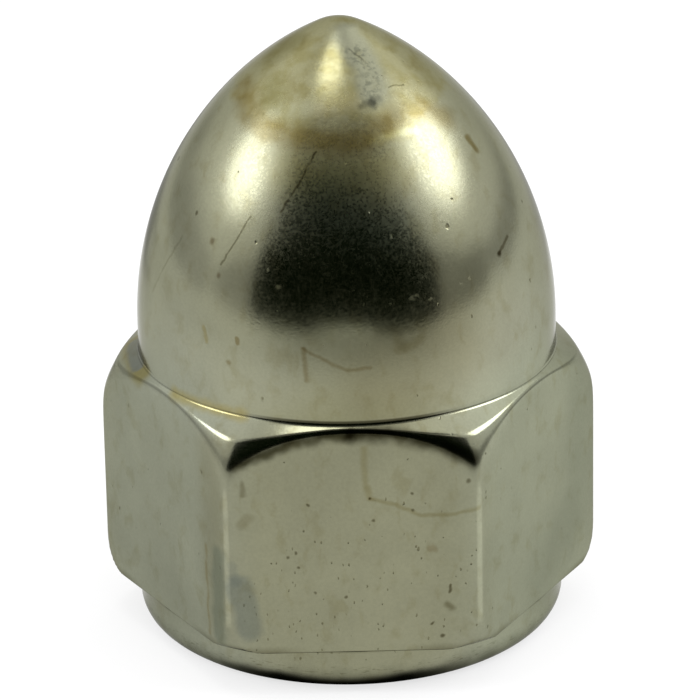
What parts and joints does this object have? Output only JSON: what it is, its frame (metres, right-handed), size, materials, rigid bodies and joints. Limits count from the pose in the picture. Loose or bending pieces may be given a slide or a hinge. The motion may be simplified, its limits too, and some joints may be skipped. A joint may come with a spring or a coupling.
{
  "type": "cap nut",
  "caption": "One-piece hexagonal cap nut with a tall bullet-shaped dome, a round washer collar and a blind threaded hole that closes over the end of a stud.",
  "frame": {"origin": "middle of the seating face, on the thread axis", "axes": "+Z along the thread axis from the seating face to the tip of the dome, +X through an upright edge of the hexagon, -Y square to one flat"},
  "size_m": [0.0194, 0.017, 0.0248],
  "materials": {
    "plating": "aged nickel plating, semi-bright, stained and finely pitted"
  },
  "bodies": {
    "root": {"cap_nut": "plating"}
  },
  "joints": []
}
